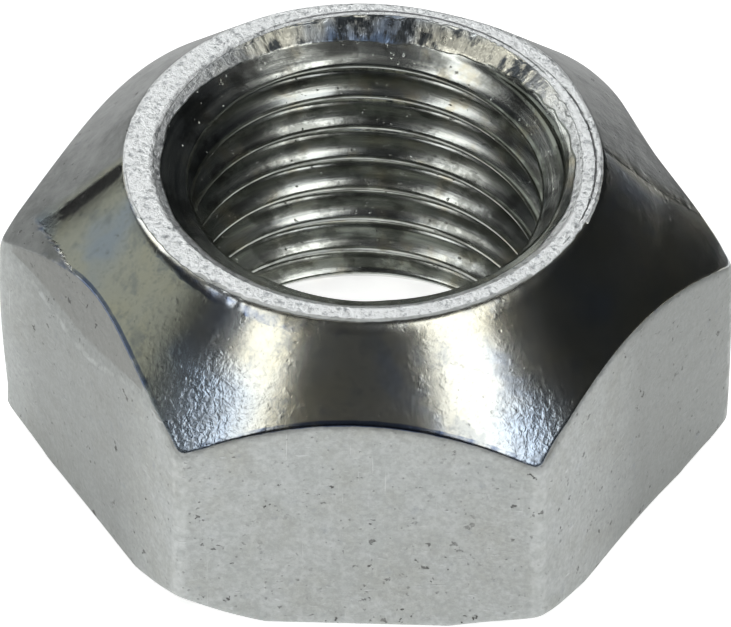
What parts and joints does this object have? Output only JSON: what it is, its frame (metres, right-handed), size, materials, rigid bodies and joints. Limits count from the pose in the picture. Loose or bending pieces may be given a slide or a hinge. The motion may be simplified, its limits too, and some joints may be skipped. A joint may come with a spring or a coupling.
{
  "type": "hex lock nut",
  "caption": "Hexagonal nut with a conical nose, a flat ring round the hole and a fine right-hand thread.",
  "frame": {"origin": "centre of the underside, on the thread axis", "axes": "+Z along the thread axis from the underside to the conical nose, +X towards one upright corner, +Y square to one flat"},
  "size_m": [0.0218, 0.019, 0.0104],
  "materials": {
    "zinc_plated_steel": "zinc plated, matt and pitted on the flats and the ring, burnished on the cone and the thread"
  },
  "bodies": {
    "root": {"nut": "zinc_plated_steel"}
  },
  "joints": []
}
